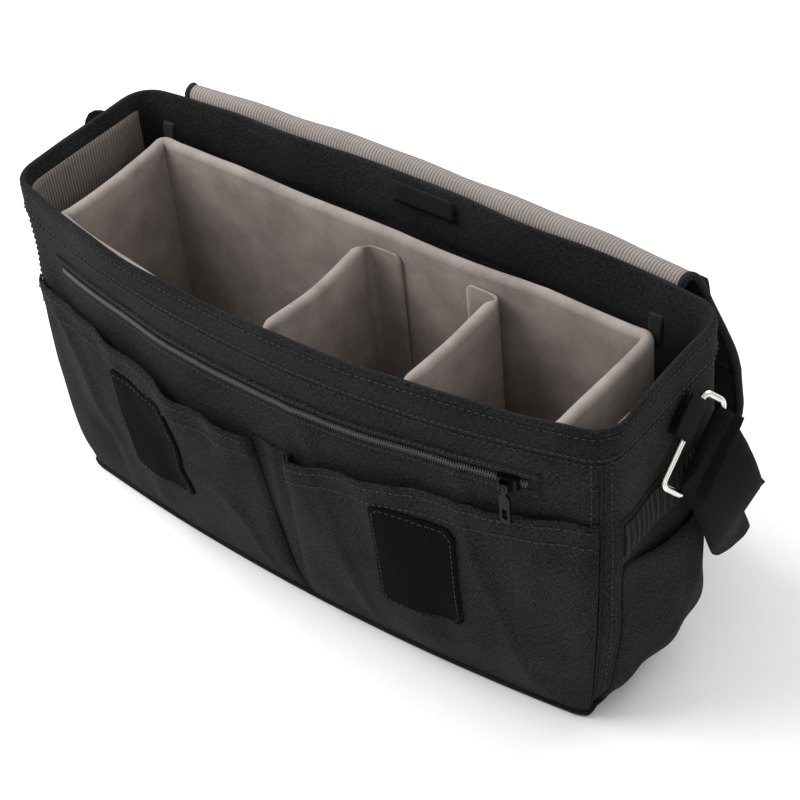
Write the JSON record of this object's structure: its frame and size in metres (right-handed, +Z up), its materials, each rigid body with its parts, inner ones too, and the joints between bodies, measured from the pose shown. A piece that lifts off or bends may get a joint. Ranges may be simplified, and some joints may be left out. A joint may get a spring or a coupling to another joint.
{
  "type": "camera bag",
  "caption": "Open messenger-style camera bag with a folded-back flap, front zip and pockets, padded lift-out insert with sliding dividers, and webbing strap on metal rings.",
  "frame": {"origin": "centre of the base, on the surface the bag stands on", "axes": "+X along the bag to its right end, +Y to the back where the flap is sewn, +Z up"},
  "size_m": [0.4952, 0.2135, 0.232],
  "materials": {
    "canvas": "washed melange canvas, charcoal",
    "rim_felt": "brushed melange binding",
    "webbing": "ribbed black webbing",
    "zip": "black coil zip",
    "hook_loop": "black hook and loop pile",
    "nickel": "polished nickel",
    "insert": "brushed taupe, padded",
    "lining": "ribbed taupe lining",
    "board": "stiff board",
    "label": "blank woven label"
  },
  "bodies": {
    "bag": {"back_label": "label", "back_lining": "lining", "back_panel": "canvas", "base_panel": "canvas", "base_piping": "rim_felt", "base_stiffener": "board", "flap_crest": "lining", "front_lining": "lining", "front_panel": "canvas", "left_front_pocket": "canvas", "left_gusset": "canvas", "left_lining": "lining", "left_loop_patch": "hook_loop", "left_pocket_elastic": "webbing", "left_side_pocket": "canvas", "left_strap_tab": "webbing", "pocket_pleat": "canvas", "rear_reinforcement": "canvas", "right_front_pocket": "canvas", "right_gusset": "canvas", "right_lining": "lining", "right_loop_patch": "hook_loop", "right_pocket_elastic": "webbing", "right_side_pocket": "canvas", "right_strap_tab": "webbing", "rim_back": "rim_felt", "rim_front": "rim_felt", "rim_left": "rim_felt", "rim_right": "rim_felt", "strap_adjuster": "nickel", "strap_back_run": "webbing", "strap_left_drop": "webbing", "strap_right_drop": "webbing", "zip_coil": "zip", "zip_tape": "zip"},
    "flap_upper": {"flap_top": "canvas", "left_flap_ear": "canvas", "right_flap_ear": "canvas"},
    "flap_middle": {"flap_front": "canvas"},
    "flap_hem": {"flap_hem": "canvas", "left_hook_patch": "hook_loop", "right_hook_patch": "hook_loop"},
    "insert": {"insert_back_wall": "insert", "insert_floor": "insert", "insert_front_wall": "insert", "insert_left_tab": "webbing", "insert_left_wall": "insert", "insert_right_tab": "webbing", "insert_right_wall": "insert"},
    "left_divider": {"left_divider": "insert", "left_divider_tabs": "insert"},
    "right_divider": {"right_divider": "insert", "right_divider_tabs": "insert"},
    "zip_slider": {"zip_slider": "zip"},
    "zip_puller": {"zip_puller": "zip"},
    "left_ring": {"left_ring": "nickel", "left_strap_end": "webbing"},
    "right_ring": {"right_ring": "nickel", "right_strap_end": "webbing"}
  },
  "joints": [
    {"name": "flap_crest_fold", "type": "hinge", "parent": "bag", "child": "flap_upper", "pos_m": [0, 0.079, 0.23], "axis": [-1, 0, 0], "range_deg": [-260, 0]},
    {"name": "flap_knee_fold", "type": "hinge", "parent": "flap_upper", "child": "flap_middle", "pos_m": [0, 0.10354, 0.05053], "axis": [-1, 0, 0], "range_deg": [-84, 0]},
    {"name": "flap_hem_fold", "type": "hinge", "parent": "flap_middle", "child": "flap_hem", "pos_m": [0, 0.11512, 0.0079], "axis": [1, 0, 0], "range_deg": [-176, 0]},
    {"name": "insert_lift", "type": "slide", "parent": "bag", "child": "insert", "axis": [0, 0, 1], "range_m": [0, 0.222]},
    {"name": "left_divider_lift", "type": "slide", "parent": "insert", "child": "left_divider", "axis": [0, 0, 1], "range_m": [0, 0.19]},
    {"name": "right_divider_lift", "type": "slide", "parent": "insert", "child": "right_divider", "axis": [0, 0, 1], "range_m": [0, 0.19]},
    {"name": "zip_travel", "type": "hinge", "parent": "bag", "child": "zip_slider", "pos_m": [0, 0.67733, 0.183], "axis": [0, 0, 1], "range_deg": [-23.5, 0]},
    {"name": "puller_swing", "type": "hinge", "parent": "zip_slider", "child": "zip_puller", "pos_m": [0.1585, -0.07433, 0.183], "axis": [-1, 0, 0], "range_deg": [0, 120]},
    {"name": "left_ring_swing", "type": "hinge", "parent": "bag", "child": "left_ring", "pos_m": [-0.2142, 0.008, 0.18], "axis": [0, 0.766, 0.6428], "range_deg": [-18, 12]},
    {"name": "right_ring_swing", "type": "hinge", "parent": "bag", "child": "right_ring", "pos_m": [0.2142, 0.008, 0.18], "axis": [0, -0.766, -0.6428], "range_deg": [-18, 12]}
  ],
  "couplings": [
    {"joint": "flap_knee_fold", "follows": "flap_crest_fold", "ratio": 0.32308},
    {"joint": "flap_hem_fold", "follows": "flap_crest_fold", "ratio": 0.67692}
  ]
}
